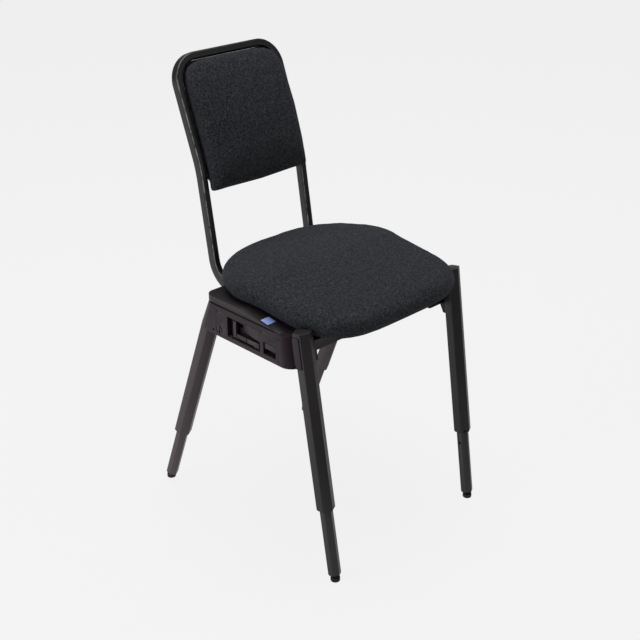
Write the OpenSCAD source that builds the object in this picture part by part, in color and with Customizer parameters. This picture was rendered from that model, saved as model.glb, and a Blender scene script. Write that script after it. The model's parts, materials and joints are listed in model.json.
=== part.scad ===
// Stacking-height choir chair: four telescoping hexagonal legs, two side housings with release levers,
// a bent-tube back frame and two upholstered pads. Millimetres, +Z up, the sitter faces -Y.
// Origin on the floor, midway between the feet's front edge and the back frame's rear edge.

/* [Stance] */
// Height of the front leg tops above the floor
leg_top = 485; // [430:1:540]
// Distance from the middle to a front foot, sideways
front_foot_x = 192; // [170:0.5:215]
// Distance from the middle to a rear foot, sideways
rear_foot_x = 196.5; // [170:0.5:215]
// Sideways lean of a front leg from its foot to the leg-top height
front_spread = 5; // [0:0.5:15]
// Sideways lean of a rear leg from its foot to the leg-top height
rear_spread = 1.5; // [0:0.5:15]
// Front foot, forward of the seat datum
front_foot_y = 237.5; // [200:0.5:270]
// Front leg axis at leg-top height, forward of the seat datum
front_top_y = 158.3; // [120:0.5:190]
// Rear foot, behind the seat datum
rear_foot_y = 250.5; // [210:0.5:280]
// Rear leg axis at leg-top height, behind the seat datum
rear_top_y = 63.5; // [30:0.5:90]
// How far the seat datum sits behind the middle of the footprint
datum_shift = -13; // [-25:0.1:20]

/* [Legs] */
// Outer leg, across the flats of the hexagon
outer_af = 30.8; // [22:0.2:36]
// Outer leg wall
outer_wall = 2; // [1:0.25:3]
// Inner leg, across the flats
inner_af = 21.8; // [14:0.2:28]
// Inner leg wall
inner_wall = 2; // [1:0.25:3]
// Height of the outer leg's lower end, front legs
front_end = 150; // [100:0.5:200]
// Height of the outer leg's lower end, rear legs
rear_end = 138; // [90:0.5:190]
// Height of the inner leg's hidden top, front legs
front_inner_top = 345; // [300:1:360]
// Height of the inner leg's hidden top, rear legs
rear_inner_top = 320; // [280:1:350]
// Length of the collar bush inside the outer leg's lower end
bush_len = 22; // [12:1:40]
// How far the collar bush shows below the outer leg
bush_lip = 1.6; // [0.5:0.1:4]
// Running gap between a sliding piece and its guide
slide_gap = 0.25; // [0.1:0.05:0.6]
// Flat taken off each corner of a hexagonal tube
hex_break = 0.7; // [0.2:0.1:2]
// Plate of the cap on a front leg
cap_plate = 2.8; // [1:0.1:5]

/* [Feet] */
// Radius of the swivelling glide
glide_r = 9; // [7:0.1:14]
// Height of the glide
glide_h = 9; // [6:0.5:14]
// Height of the swivel ball's centre above the floor
ball_z = 5.4; // [4:0.1:8]
// Radius of the swivel ball
ball_r = 3.9; // [2.5:0.1:6]
// Radius of the ball's neck
neck_r = 1.8; // [1:0.1:4]
// Height of the leg plug's lower face above the floor
plug_z = 13.2; // [9:0.1:20]

/* [Side housings] */
// Distance from the middle to the housing's outer face
face_x = 215.5; // [200:0.5:230]
// Distance from the middle to the housing's open inner side
inner_x = 152; // [140:0.5:170]
// Underside of the housing, below the leg tops
base_drop = 73; // [60:0.5:90]
// Lip where the housing ends and its deck begins, below the leg tops
lip_drop = 12.4; // [5:0.2:25]
// Highest level of the deck, above the leg tops
deck_rise = 1.6; // [0:0.2:6]
// Housing wall
cheek_wall = 2.6; // [1.5:0.1:4]
// Rear end of the housing at lip height, behind the datum
cheek_rear = 82; // [75:0.5:105]
// Front end of the housing at lip height, forward of the datum
cheek_front = 139; // [125:0.5:150]
// Rake of the housing's rear end
rear_rake = 24.5; // [15:0.5:32]
// Rounding of the housing's rear corner
rear_corner_r = 17; // [8:0.5:35]
// Rounding of the housing's front corner
front_corner_r = 25; // [10:0.5:35]
// Rounding of the rear end's lower edge, seen from the side
lower_corner_r = 24; // [8:0.5:30]
// How far the rear leg ends below the leg-top height, in its socket
socket_drop = 59; // [50:0.5:70]
// Step from the lip in to the deck's side
deck_step = 2.2; // [1:0.1:5]
// Rear end of the deck beyond the housing's lip
deck_over = 1.8; // [0:0.1:4]
// Where the deck starts to fall towards the front, forward of the datum
fall_start = 20; // [0:1:60]
// Angle at which the deck's front part falls
deck_fall = 8.2; // [3:0.1:14]
// Side of the square marker tile
marker_side = 20; // [12:0.5:30]
// Depth of the marker's pocket below the deck
marker_sink = 1.6; // [0.5:0.1:4]

/* [Release lever] */
// Depth of the lever recess
recess_depth = 10.5; // [6:0.5:14]
// Clear space between the grip's end and the recess's front end
grip_gap = 5; // [2:0.5:17]
// Rear end of the recess, behind the datum
recess_rear = 20; // [12:0.5:30]
// Floor of the recess above the housing's underside
recess_rise = 8.5; // [5:0.5:15]
// Height of the recess
recess_h = 40.5; // [30:0.5:45]
// Lever hinge, behind the datum
hinge_y = 1; // [-5:0.5:8]
// Lever hinge, in from the housing's outer face
hinge_in = 7; // [5:0.1:9]
// Thickness of the lever's grip
grip_t = 6.6; // [4:0.2:9]
// Height of the grip bar
grip_h = 8.4; // [5:0.2:14]
// Length of the grip bar forward of its hinge
grip_len = 64; // [40:1:68]
// Radius of the hinge pin
pin_r = 1.6; // [1:0.1:3]
// Reach of the crank behind the hinge
crank_len = 15; // [12:0.5:18]
// Square section of the draw bar
bar_w = 5; // [3:0.2:8]

/* [Link window and turn plug] */
// Front end of the link window, forward of the datum
window_front = 110; // [100:0.5:115]
// Width of the link window
window_w = 32.5; // [24:0.5:36]
// Floor of the window above the housing's underside
window_rise = 10; // [6:0.5:16]
// Height of the window
window_h = 23.5; // [16:0.5:30]
// Depth of the window
window_depth = 12; // [8:0.5:16]
// Turn plug, behind the datum
knob_y = 43.5; // [36:0.5:52]
// Turn plug above the housing's underside
knob_rise = 14.5; // [12:0.5:20]
// Radius of the turn plug
knob_r = 9.4; // [6:0.1:11]

/* [Seat] */
// Half the width of the seat pad
seat_a = 205; // [180:0.5:220]
// Half the depth of the seat pad
seat_b = 186.5; // [170:0.5:210]
// Centre of the seat pad, forward of the datum
seat_cy = 39.5; // [25:0.5:55]
// Height of the pad's fullest line above the pan's underside
pad_sit = 17; // [12:0.5:24]
// Half the thickness of the pad's side
seat_side = 19.8; // [12:0.2:24]
// Rise of the crown above the side's top
seat_crown = 8; // [3:0.5:16]
// Drop of the front edge below the sides
seat_drop = 22.8; // [5:0.2:30]
// Thickness of the moulded pan under the pad
pan_t = 8; // [5:0.5:12]
// Height of the front pan mounts
mount_len = 19.6; // [12:0.2:28]
// Radius of a pan mount
mount_r = 7; // [5:0.5:8.5]

/* [Back] */
// Half the width of the back frame
back_half = 132.4; // [110:0.2:150]
// Width of the frame tube, seen from the front
tube_w = 15; // [10:0.5:22]
// Depth of the frame tube
tube_d = 20; // [12:0.5:26]
// Wall of the frame tube and the cross tubes
tube_wall = 1.5; // [1:0.1:3]
// Rounding of the frame tube's edges
tube_r = 4.5; // [2:0.1:6]
// Lumbar bend above the leg-top height, on the frame's rear face
bend_rise = 193; // [150:1:230]
// Lumbar bend behind the datum, on the frame's rear face
bend_back = 201; // [180:0.5:225]
// Height of the frame above the lumbar bend
back_rise = 197.5; // [160:0.5:240]
// Lean of the upper frame from upright
upper_lean = 20.6; // [10:0.1:28]
// Lean of the lower frame from upright
lower_lean = 9.3; // [3:0.1:14]
// Radius of the lumbar bend
bend_r = 220; // [150:1:300]
// Rounding of the frame's top corners
top_corner_r = 55; // [30:1:70]
// Radius of the bend that carries the frame under the seat
foot_bend_r = 53; // [40:1:80]
// Underside of the frame's rails below the leg tops
rail_drop = 36; // [30:0.5:50]
// Gap between the back pad and the frame
pad_gap = 0.8; // [0.4:0.1:3]
// Height of the back pad along its lean
pad_h = 241; // [200:1:260]
// Reach of the back pad in front of the frame tube at its fullest
pad_t = 29; // [20:0.5:40]

/* [Cross tubes] */
// Depth of a cross tube
cross_d = 17; // [12:0.5:24]
// Height of the front cross tube
cross_front_h = 20; // [16:0.5:26]
// Height of the rear cross tube
cross_rear_h = 25; // [18:0.5:30]

/* [Hidden] */
cut = 1;
small = 0.01;
tube_fn = 48;
bend_fn = 96;
hole_fn = 24;

// levels and places that follow
cheek_base = leg_top - base_drop;
lip_z = leg_top - lip_drop;
deck_top = leg_top + deck_rise;
socket_z = leg_top - socket_drop;
rail_z = leg_top - rail_drop;
pan_z = rail_z + cross_front_h + mount_len;
seat_mid = pan_z + pad_sit;
bend_z = leg_top + bend_rise;
recess_front = grip_len - hinge_y + grip_gap;
recess_y0 = -recess_front;
recess_y1 = recess_rear;
recess_z0 = cheek_base + recess_rise;
recess_z1 = recess_z0 + recess_h;
window_y0 = -window_front;
window_z0 = cheek_base + window_rise;
knob_z = cheek_base + knob_rise;
hinge_x = face_x - hinge_in;
corner_r = outer_af / 2 / cos(30);

// legs: service notch, index holes, plugs, caps
notch_w = 6;
notch_h = 4.4;
press_gap = 0.05;
ring_shares = [0.33, 0.44, 0.55];
index_r = 2.7;
plug_rim = 1.8;
plug_shy = 1.2;
plug_depth = 16.4;
cap_depth = 12;

// glides
socket_gap = 0.15;
glide_crown = 1.2;
mouth_shares = [0.55, 0.84, 1.25];

// housing: leg sleeve, toe, boss, screws
fit_gap = 0.12;
sleeve_step = 3;
sleeve_rise = 11;
sleeve_lid = 5.6;
sleeve_shares = [0.28, 0.16];
web_w = 15;
web_d = 8;
web_lid = 2;
toe_w = 10;
toe_drop = 18;
toe_out = 10;
toe_tip = 2;
toe_join = 3;
channel_h = 20.4;
scoop_shares = [[1, 0.19], [0.55, 0.47], [0.115, 0.92], [0.115, 1.03]];
boss_d = 12;
boss_rim = 1.8;
turn_gap = 0.35;
shaft_r = 3.2;
shaft_gap = 0.1;
shaft_len = 18;
sight_back = 17;
sight_drop = 6;
sight_w = 4;
screw_shares = [[0.573, 0.833], [-0.527, 0.85], [-0.842, 0.858], [-0.849, 0.149]];
screw_head_r = 2.6;
screw_head_h = 1.3;
screw_sink = 1.5;
screw_gap = 0.25;
screw_r = 1.24;
screw_hole_r = 1.6;
screw_bite_r = 1.3;
screw_len = 18;
screw_bite_len = 23;
hex_key_r = 1.3;
hex_key_d = 0.7;
post_r = 3.7;
post_gap = 0.3;
pin_fit = 0.02;
pin_gap = 0.06;
pin_shy = 0.2;

// deck and marker tile
deck_gap = 0.25;
deck_skin = 2.4;
marker_gap = 0.3;
marker_t = 1.4;
marker_in = 5.3;
marker_back = 43;

// inner cover with its bar guides
cover_t = 2.4;
cover_edge = 0.6;
cross_gap = 0.5;
guide_t = 4.5;
guide_rim = 3;
guide_front = 50;
guide_rear = 9.5;

// lever, crank and draw bar
barrel_r = 3.3;
lever_foot = 2.6;
lever_head = 2;
collar_h = 2;
upright_in = 1.5;
upright_w = 7.2;
grip_in = 2;
thumb_w = 3.2;
thumb_d = 1;
thumb_share = 0.52;
end_len = 13;
end_step = 1;
end_proud = 0.4;
crank_w = 6;
crank_t = 4.2;
crank_drop = 5.4;
crank_gap = 1;
crank_post_r = 2.2;
crank_slot_front = 12;
crank_slot_w = 21;
bar_in = 24;
bar_rise = 39;
bar_front = 124;
bar_rear = 48;
bar_tab_len = 14.5;
bar_tab_w = 13;
bar_slot_in = 6.2;
nose_l = 22;
nose_h = 7;
nose_w = 8;
nose_slope = 8;
bar_x = hinge_x - bar_in;
bar_z = cheek_base + bar_rise;

// row link tongue
link_rise = 13.3;
link_t = 8.4;
link_side = 1.8;
link_gap = 0.6;
link_in = 1.4;
link_len = 33;
link_head_l = 5;
link_head_drop = 2.3;
hook_in = 11;
hook_l = 6;
hook_d = 3.7;
hook_shares = [0.22, 0.56];
link_z = window_z0 + link_rise;

// turn plug
turn_t = 7.4;
turn_shy = 0.2;
cam_l = 9;
cam_t = 3;
driver_w = 2.6;
driver_d = 2.2;
driver_share = 0.78;
groove_shares = [0.86, 0.68];
groove_d = 1.2;

// back frame: the straights are a hair thinner than the bends and reach a little way into them
bend_lap = 0.8;
lap_step = 0.03;
weld_gap = 0.1;
tab_len = 10.8;
tab_sink = 1.2;
tab_t = 2.4;
tab_h = 16;
tab_in = 3.4;
tab_shares = [0.17, 0.8];
tab_hole_r = 1.55;
tab_screw_in = 5.4;
tab_screw_r = 1.5;
tab_screw_len = 7;
tab_head_r = 2.8;
tab_head_h = 1.4;

// back board and back pad
board_in = 6.2;
board_t = 3.6;
board_edge = 2;
board_foot = 4;
pad_back = board_in + board_t + small;
pad_dip = 4;
dip_share = 0.9;
pad_n = 64;
pad_reach_shares = [[0, 0.71], [0.15, 0.88], [0.3, 0.965], [0.45, 1], [0.65, 0.93], [0.85, 0.69], [1, 0.33]];
pad_ring_shares = [[0.9, 0], [0.965, 0], [0.985, 0.12], [0.98, 0.2], [0.988, 0.28], [1, 0.52], [0.99, 0.72],
    [0.965, 0.87], [0.92, 0.96], [0.84, 1.02], [0.68, 1.07], [0.46, 1.11], [0.22, 1.13]];
pad_crown_share = 1.135;

// seat pad, pan and mounts; rings run from the underside out, round the side and over the crown
taper_share = 0.056;
taper_start = 70;
taper_span = 85;
fall_from = 16;
crown_share = 0.42;
seat_n = 72;
seat_ring_shares = [[0.86, -0.86], [0.93, -0.88], [0.965, -0.81], [0.982, -0.66], [0.974, -0.6], [0.988, -0.52],
    [0.998, -0.22], [1, 0.05], [0.994, 0.38], [0.975, 0.68], [0.94, 0.89], [0.88, 1.02],
    [0.76, 1.16], [0.58, 1.28], [0.36, 1.37], [0.16, 1.42]];
foam_gap = 0.6;
foam_room = 30;
pan_shares = [0.9, 0.87];
pan_back = 2;
pan_gap = 0.02;
pan_skin = 3;
hollow_x = 60;
hollow_w = 84;
hollow_l = 250;
rear_mount_y = 19.5;
bolt_r = 3;
bolt_gap = 0.12;
bolt_skin = 2.5;
bolt_head_r = 5.2;
bolt_head_h = 2.6;

// one leg: foot point, top point and the two turns that lay +Z along its axis
function leg_dy(front) = front ? front_foot_y - front_top_y : rear_top_y - rear_foot_y;
function leg_dx(front) = front ? front_spread : rear_spread;
function leg_len(front) = norm([leg_dx(front), leg_dy(front), leg_top]);
function leg_cos(front) = leg_top / leg_len(front);
function leg_rx(front) = -asin(leg_dy(front) / leg_len(front));
function leg_ry(front) = atan(leg_dx(front) / leg_top);
function leg_y(front, z) = (front ? -front_foot_y : rear_foot_y) + leg_dy(front) * z / leg_top;
function leg_x(front, z) = (front ? front_foot_x : rear_foot_x) + leg_dx(front) * z / leg_top;
function along(front, z) = z / leg_cos(front);

// a hexagon with flats on +X and -X and its corners just broken
function hex_pts(af, brk) = [for (i = [0:5]) for (s = [-1, 1])
    let (r = af / 2 / cos(30), a = 30 + 60 * i, t = 120 + 60 * i)
    [r * cos(a) + brk * cos(s > 0 ? t + 30 : t - 210), r * sin(a) + brk * sin(s > 0 ? t + 30 : t - 210)]];

module datum() {
    translate([0, datum_shift, 0]) children();
}

module on_leg(front) {
    translate([leg_x(front, 0), leg_y(front, 0), 0])
    rotate([leg_rx(front), leg_ry(front), 0])
    children();
}

module hex_bar(af, brk, from, to) {
    translate([0, 0, from])
    linear_extrude(to - from) polygon(hex_pts(af, brk));
}

module side(left) {
    if (left) {
        children();
    } else {
        mirror([1, 0, 0]) children();
    }
}

// a round hole or pin that runs along X from one place to another
module x_rod(y, z, r, from, to, fn = hole_fn) {
    translate([from, y, z]) rotate([0, 90, 0]) cylinder(r = r, h = to - from, $fn = fn);
}

// ---- legs ----

module outer_leg(front) {
    end = along(front, front ? front_end : rear_end);
    top = along(front, front ? leg_top : socket_z);
    on_leg(front)
    difference() {
        hex_bar(outer_af, hex_break, end, top);
        hex_bar(outer_af - 2 * outer_wall, hex_break, end - cut, top + cut);
        // service notch at the lower end, on the inward-rear flat
        rotate([0, 0, front ? 60 : -60])
        translate([-outer_af / 2, 0, end])
        cube([3 * outer_wall, notch_w, 2 * notch_h], center = true);
    }
}

module leg_bush(front) {
    end = along(front, front ? front_end : rear_end);
    color([0.05, 0.05, 0.055])
    on_leg(front)
    difference() {
        union() {
            hex_bar(outer_af - 2 * outer_wall - press_gap, hex_break, end, end + bush_len);
            hex_bar(outer_af - outer_wall, hex_break, end - bush_lip, end);
        }
        hex_bar(inner_af + 2 * slide_gap, hex_break, end - bush_lip - cut, end + bush_len + cut);
    }
}

module inner_leg(front) {
    bottom = along(front, plug_z + plug_rim);
    top = along(front, front ? front_inner_top : rear_inner_top);
    on_leg(front)
    difference() {
        hex_bar(inner_af, hex_break, bottom, top);
        hex_bar(inner_af - 2 * inner_wall, hex_break, bottom - cut, top + cut);
        // index holes on the inward flat
        for (s = ring_shares)
            translate([-inner_af / 2, 0, bottom + (top - bottom) * s])
            rotate([0, 90, 0])
            cylinder(r = index_r, h = 3 * inner_wall, center = true, $fn = hole_fn);
    }
}

module leg_plug(front) {
    low = along(front, plug_z);
    bottom = along(front, plug_z + plug_rim);
    ball = along(front, ball_z);
    on_leg(front)
    union() {
        hex_bar(inner_af - 2 * inner_wall - press_gap, hex_break, bottom - small, bottom + plug_depth);
        hex_bar(inner_af - plug_shy, 2 * hex_break, low, bottom);
        translate([0, 0, ball]) cylinder(r = neck_r, h = low - ball + small, $fn = hole_fn);
        translate([0, 0, ball]) sphere(r = ball_r, $fn = hole_fn);
    }
}

module glide(front) {
    mouth = ball_z + ball_r * mouth_shares[0];
    on_leg(front)
    translate([0, 0, along(front, ball_z)])
    rotate([-leg_rx(front), 0, 0])
    rotate([0, -leg_ry(front), 0])
    translate([0, 0, -ball_z])
    difference() {
        union() {
            cylinder(r1 = glide_r - glide_crown, r2 = glide_r, h = glide_crown, $fn = tube_fn);
            translate([0, 0, glide_crown])
            cylinder(r = glide_r, h = glide_h - 2 * glide_crown, $fn = tube_fn);
            translate([0, 0, glide_h - glide_crown])
            cylinder(r1 = glide_r, r2 = glide_r - glide_crown, h = glide_crown, $fn = tube_fn);
        }
        translate([0, 0, ball_z]) sphere(r = ball_r + socket_gap, $fn = hole_fn);
        translate([0, 0, mouth])
        cylinder(r1 = ball_r * mouth_shares[1], r2 = ball_r * mouth_shares[2], h = glide_h - mouth + small,
            $fn = hole_fn);
    }
}

module leg_caps() {
    top = along(true, leg_top);
    color([0.04, 0.04, 0.045])
    for (s = [0, 1])
        side(s == 1)
        on_leg(true)
        difference() {
            union() {
                hex_bar(outer_af - 2 * outer_wall - press_gap, hex_break, top - cap_depth, top + small);
                hex_bar(outer_af, hex_break, top, top + cap_plate);
            }
            hex_bar(outer_af - 4 * outer_wall, hex_break, top - cap_depth - cut, top - cap_plate);
        }
}

// ---- side housings ----

// plan of one end of the housing or deck, running on past the other end: outer face, end distance
// and corner radius
module end_plan(outer, end, r, s) {
    far = 2 * cheek_front;
    translate([inner_x, s > 0 ? -far : s * (end - r), 0]) square([outer - inner_x, end - r + far]);
    translate([inner_x, s > 0 ? -far : -end, 0]) square([outer - r - inner_x, end + far]);
    translate([outer - r, s * (end - r), 0]) circle(r = r, $fn = bend_fn);
}

// the housing's outside, drawn in by d, from one height to another
module cheek_block(d, low, high) {
    reach = 2 * base_drop;
    lean = leg_rx(true);
    intersection() {
        // the rear end is raked to run down along the rear leg, the front end leans with the front leg
        translate([0, 0, lip_z]) rotate([rear_rake, 0, 0])
        translate([0, 0, -reach]) linear_extrude(2 * reach)
        end_plan(face_x - d, cheek_rear * cos(rear_rake) - d, rear_corner_r - d, 1);
        translate([0, 0, lip_z]) rotate([lean, 0, 0])
        translate([0, 0, -reach]) linear_extrude(2 * reach)
        end_plan(face_x - d, cheek_front * cos(lean) - d, front_corner_r - d, -1);
        cheek_profile(d, low, high);
    }
}

// side view of the housing, drawn in by d: level base, rounded lower rear corner
module cheek_side(d, low, high) {
    rear = cheek_rear + (lip_z - cheek_base) * tan(rear_rake) - d;
    r = lower_corner_r - d;
    front = -2 * cheek_front;
    arc_y = rear - r * (1 + sin(rear_rake));
    translate([front, low + r]) square([rear + cut - front, high - low - r]);
    translate([front, low]) square([arc_y - front, high - low]);
    translate([arc_y, low + r]) circle(r = r, $fn = bend_fn);
}

module cheek_profile(d, low, high) {
    translate([inner_x - cut, 0, 0])
    rotate([90, 0, 90])
    linear_extrude(face_x - inner_x + 2 * cut)
    cheek_side(d, low, high);
}

function screw_spot(s) = [s[0] * (s[0] > 0 ? cheek_rear : cheek_front), cheek_base + s[1] * (lip_z - cheek_base)];
screw_spots = [for (s = screw_shares) screw_spot(s)];
function scoop_pt(s) = [face_x - recess_depth * s[0], hinge_y - grip_len * s[1]];

module recess_void() {
    back = face_x - recess_depth;
    last = scoop_pt(scoop_shares[len(scoop_shares) - 1]);
    // deep channel along the bottom and around the hinge
    translate([back, recess_y0, recess_z0])
    cube([recess_depth + cut, recess_y1 - recess_y0, channel_h]);
    // finger scoop above the grip: deep at the hinge, running out towards the front
    translate([0, 0, recess_z0])
    linear_extrude(recess_z1 - recess_z0)
    polygon(concat([[face_x + cut, recess_y1], [back, recess_y1]], [for (s = scoop_shares) scoop_pt(s)],
        [[face_x + cut, last[1]]]));
}

module recess_walls() {
    translate([face_x - recess_depth - cheek_wall, recess_y0 - cheek_wall, recess_z0 - cheek_wall])
    cube([recess_depth + cheek_wall, recess_y1 - recess_y0 + 2 * cheek_wall,
        recess_z1 - recess_z0 + 2 * cheek_wall]);
}

module window_void() {
    translate([face_x - window_depth, window_y0, window_z0])
    cube([window_depth + cut, window_w, window_h]);
}

module window_walls() {
    translate([face_x - window_depth - cheek_wall, window_y0 - cheek_wall, window_z0 - cheek_wall])
    cube([window_depth + cheek_wall, window_w + 2 * cheek_wall, window_h + 2 * cheek_wall]);
}

module screw_holes(r, from, to) {
    for (p = screw_spots)
        x_rod(p[0], p[1], r, from, to);
}

// the rear cross tube's way into the housing
module cross_way(gap, from, to) {
    translate([from, leg_y(false, rail_z - cross_rear_h / 2) - cross_d / 2 - gap, rail_z - cross_rear_h - gap])
    cube([to - from, cross_d + 2 * gap, cross_rear_h + 2 * gap]);
}

// toe under the housing's front end that carries its thrust down the leg's rear corner
module cheek_toe() {
    translate([leg_x(true, cheek_base) - toe_w, 0, 0])
    rotate([90, 0, 90])
    linear_extrude(toe_w)
    polygon([for (p = [[-corner_r / 2, -toe_drop], [toe_tip, -toe_drop], [toe_out, toe_join], [-corner_r / 2, toe_join]])
        [leg_y(true, cheek_base + p[1]) + corner_r + p[0], cheek_base + p[1]]]);
}

module cheek() {
    color([0.07, 0.065, 0.07])
    difference() {
        union() {
            difference() {
                cheek_block(0, cheek_base, lip_z);
                cheek_block(cheek_wall, cheek_base + cheek_wall, lip_z + cut);
            }
            intersection() {
                recess_walls();
                cheek_block(small, cheek_base, lip_z);
            }
            window_walls();
            cheek_toe();
            // sleeve that wraps the front leg's outer and rear flats
            on_leg(true)
            intersection() {
                hex_bar(outer_af + sleeve_step, hex_break, along(true, cheek_base + sleeve_rise),
                    along(true, leg_top - sleeve_lid + deck_rise));
                translate([-outer_af * sleeve_shares[0], -outer_af * sleeve_shares[1], 0])
                cube([outer_af + sleeve_step, outer_af + sleeve_step, leg_len(true)]);
            }
            // filler between the sleeve and the housing's front wall
            on_leg(true)
            translate([-web_w / 2, outer_af / 2, along(true, cheek_base + sleeve_rise)])
            cube([web_w, web_d, along(true, lip_z - web_lid) - along(true, cheek_base + sleeve_rise)]);
            // boss for the turn plug
            x_rod(knob_y, knob_z, knob_r + boss_rim, face_x - boss_d, face_x - small, tube_fn);
        }
        recess_void();
        window_void();
        on_leg(true) hex_bar(outer_af + 2 * fit_gap, hex_break, 0, leg_len(true));
        // the rear leg ends in its socket
        on_leg(false) hex_bar(outer_af + 2 * fit_gap, hex_break, 0, along(false, socket_z) + fit_gap);
        cross_way(fit_gap, inner_x - cut, leg_x(false, rail_z));
        // turn plug: seat and shaft hole
        x_rod(knob_y, knob_z, knob_r + turn_gap, face_x - turn_t - turn_shy - turn_gap, face_x + cut, tube_fn);
        x_rod(knob_y, knob_z, shaft_r + shaft_gap, face_x - boss_d - cut, face_x);
        // small square sight hole behind the plug
        translate([face_x - cheek_wall, knob_y + sight_back, knob_z - sight_drop])
        cube([4 * cheek_wall, sight_w, sight_w], center = true);
        // screws: through holes with sunk seats
        screw_holes(screw_hole_r, face_x - boss_d, face_x + cut);
        screw_holes(screw_head_r + screw_gap, face_x - screw_sink, face_x + cut);
        // room for the cover's posts
        screw_holes(post_r + slide_gap, inner_x - cut, face_x - cheek_wall + small);
        // hinge pin bores above and below the recess
        translate([hinge_x, hinge_y, recess_z0 - cheek_wall - cut])
        cylinder(r = pin_r + pin_fit, h = recess_z1 - recess_z0 + 2 * cheek_wall + 2 * cut, $fn = hole_fn);
        // slot for the lever's crank
        translate([face_x - recess_depth - 2 * cheek_wall, hinge_y - crank_slot_front, bar_z - crank_drop - crank_gap])
        cube([4 * cheek_wall, crank_slot_w, crank_t + 2 * crank_gap]);
        // slot for the link tongue
        translate([face_x - window_depth - 2 * cheek_wall, window_y0 + link_side - link_gap, link_z - link_gap])
        cube([4 * cheek_wall, window_w - 2 * link_side + 2 * link_gap, link_t + 2 * link_gap]);
    }
}

module cheek_left() {
    datum() side(true) cheek();
}

module cheek_right() {
    datum() side(false) cheek();
}

module deck_plan(d) {
    intersection() {
        end_plan(face_x - deck_step - d, cheek_rear + deck_over - d, rear_corner_r - d, 1);
        end_plan(face_x - deck_step - d, cheek_front - deck_step - d, front_corner_r - d, -1);
    }
}

// the space above the deck's falling front part, with its corner at the given height
module fall_void(level) {
    translate([inner_x - cut, -fall_start, level]) rotate([deck_fall, 0, 0])
    translate([0, -2 * cheek_front, 0])
    cube([face_x - inner_x + 2 * cut, 2 * cheek_front, cheek_front]);
}

// deck cover: the raised top of the housing, with the marker's pocket
module deck() {
    low = lip_z + deck_gap;
    color([0.055, 0.05, 0.055])
    difference() {
        translate([0, 0, low]) linear_extrude(deck_top - low) deck_plan(0);
        // the hollow stays a skin's thickness under the top and its falling front
        difference() {
            translate([0, 0, low - cut]) linear_extrude(deck_top - low - deck_skin + cut) deck_plan(deck_skin);
            fall_void(deck_top - deck_skin);
        }
        fall_void(deck_top);
        marker_place() translate([0, 0, -marker_sink])
        linear_extrude(marker_side) square(marker_side + 2 * marker_gap, center = true);
        on_leg(true) hex_bar(outer_af + sleeve_step + 2 * fit_gap, hex_break, 0, 2 * leg_len(true));
    }
}

// the marker tile's frame, on the sloping front of the deck
module marker_place() {
    translate([face_x - deck_step - marker_in - marker_side / 2, -fall_start, deck_top])
    rotate([deck_fall, 0, 0])
    translate([0, -marker_back - marker_side / 2, 0])
    children();
}

module marker() {
    color([0.62, 0.7, 0.95])
    marker_place() translate([0, 0, -marker_sink + small])
    linear_extrude(marker_t) square(marker_side, center = true);
}

module deck_left() {
    datum() side(true) deck();
}

module deck_right() {
    datum() side(false) deck();
}

module marker_left() {
    datum() side(true) marker();
}

module marker_right() {
    datum() side(false) marker();
}

// inner cover: closes the housing on the seat side, carries the screw posts and guides the draw bar
module cover() {
    drop = lip_z - cheek_base;
    front = cheek_front - cover_edge;
    rear = cheek_rear - cover_edge;
    color([0.05, 0.05, 0.055])
    difference() {
        union() {
            translate([inner_x - cover_t, 0, 0]) rotate([90, 0, 90]) linear_extrude(cover_t)
            intersection() {
                polygon([[-front, lip_z - cover_edge], [rear, lip_z - cover_edge],
                    [rear + drop * tan(rear_rake), cheek_base], [-front - drop * tan(-leg_rx(true)), cheek_base]]);
                cheek_side(cover_edge, cheek_base + cover_edge, lip_z - cover_edge);
            }
            for (p = screw_spots)
                x_rod(p[0], p[1], post_r, inner_x - small, face_x - cheek_wall - post_gap);
            for (y = [-guide_front, guide_rear])
                translate([inner_x - small, y, bar_z - guide_rim])
                cube([bar_x + bar_w + guide_rim - inner_x, guide_t, bar_w + 2 * guide_rim]);
        }
        // the screws bite into blind holes in the posts
        screw_holes(screw_bite_r, face_x - screw_bite_len, face_x);
        // the draw bar's way through its guides
        translate([bar_x - slide_gap, -guide_front - cut, bar_z - slide_gap])
        cube([bar_w + 2 * slide_gap, guide_front + guide_rear + guide_t + 2 * cut, bar_w + 2 * slide_gap]);
        // the rear cross tube and the leg's inner corner pass through
        cross_way(cross_gap, inner_x - 2 * cover_t, inner_x + cover_t);
    }
}

module cover_left() {
    datum() side(true) cover();
}

module cover_right() {
    datum() side(false) cover();
}

module cheek_screws() {
    seat = face_x - screw_sink + small;
    color([0.3, 0.3, 0.31])
    datum()
    for (s = [0, 1])
        side(s == 1)
        for (p = screw_spots)
            difference() {
                union() {
                    x_rod(p[0], p[1], screw_head_r, seat, seat + screw_head_h);
                    x_rod(p[0], p[1], screw_r, seat - screw_len, seat + small);
                }
                x_rod(p[0], p[1], hex_key_r, seat + screw_head_h - hex_key_d, seat + screw_head_h + cut, 6);
            }
}

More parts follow.
